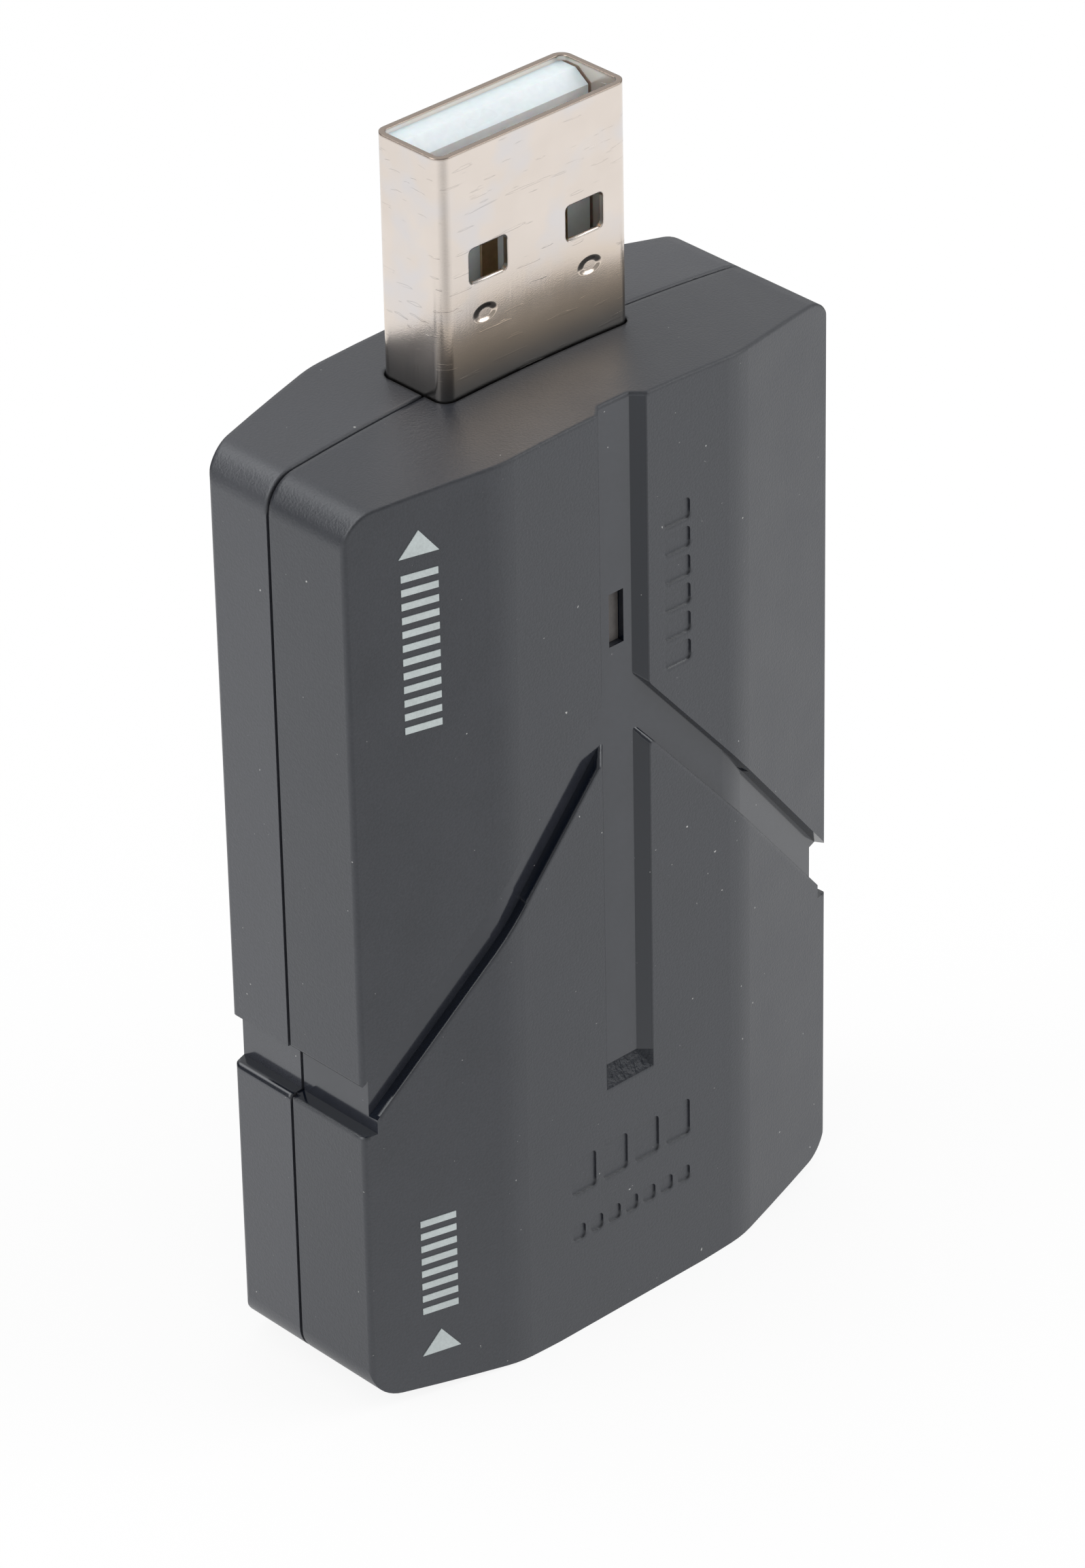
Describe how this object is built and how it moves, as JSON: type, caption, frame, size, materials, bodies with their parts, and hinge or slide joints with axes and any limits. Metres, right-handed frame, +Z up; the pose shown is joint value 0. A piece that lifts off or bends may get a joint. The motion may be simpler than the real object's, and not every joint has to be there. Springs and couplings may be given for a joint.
{
  "type": "video capture box",
  "caption": "Small flat two-shell box that takes an HDMI cable at one end and plugs straight into a USB port with the sleeve plug at its other end.",
  "frame": {"origin": "middle of the lower end, where the box stands on its socket end", "axes": "+Z up along the box to the plug's tip, -Y out of the grooved front face, +X to that face's right"},
  "size_m": [0.0314, 0.0132, 0.0637],
  "materials": {
    "case_plastic": "fine matt texture",
    "connector_steel": "nickel-plated, satin",
    "plug_plastic": "pale, slightly glossy",
    "socket_plastic": "black, satin",
    "contact_gold": "gold-plated",
    "board_laminate": "green solder resist",
    "chip_epoxy": "black moulded epoxy",
    "tinned_leads": "tin-plated",
    "crystal_metal": "plain can",
    "inductor_ferrite": "dark ferrite",
    "capacitor_metal": "bare aluminium",
    "ceramic_body": "tan fired ceramic",
    "resistor_body": "black glazed ceramic",
    "led_resin": "clear yellowish resin",
    "guide_plastic": "smoky translucent",
    "print_ink": "white printed ink"
  },
  "bodies": {
    "root": {"front_shell": "case_plastic", "rear_shell": "case_plastic", "circuit_board": "board_laminate", "usb_plug_shell": "connector_steel", "usb_plug_insulator": "plug_plastic", "usb_contacts": "contact_gold", "hdmi_socket_shell": "connector_steel", "hdmi_socket_insulator": "socket_plastic", "hdmi_contacts_front": "contact_gold", "hdmi_contacts_rear": "contact_gold", "capture_chip": "chip_epoxy", "capture_chip_leads": "tinned_leads", "memory_chip": "chip_epoxy", "memory_chip_leads": "tinned_leads", "crystal": "crystal_metal", "voltage_regulator": "chip_epoxy", "power_inductor": "inductor_ferrite", "filter_capacitor": "capacitor_metal", "ceramic_capacitors": "ceramic_body", "chip_resistors": "resistor_body", "esd_arrays": "chip_epoxy", "status_led": "led_resin", "light_guide": "guide_plastic", "output_arrow": "print_ink", "input_arrow": "print_ink", "output_dashes": "print_ink", "input_dashes": "print_ink"}
  },
  "joints": []
}
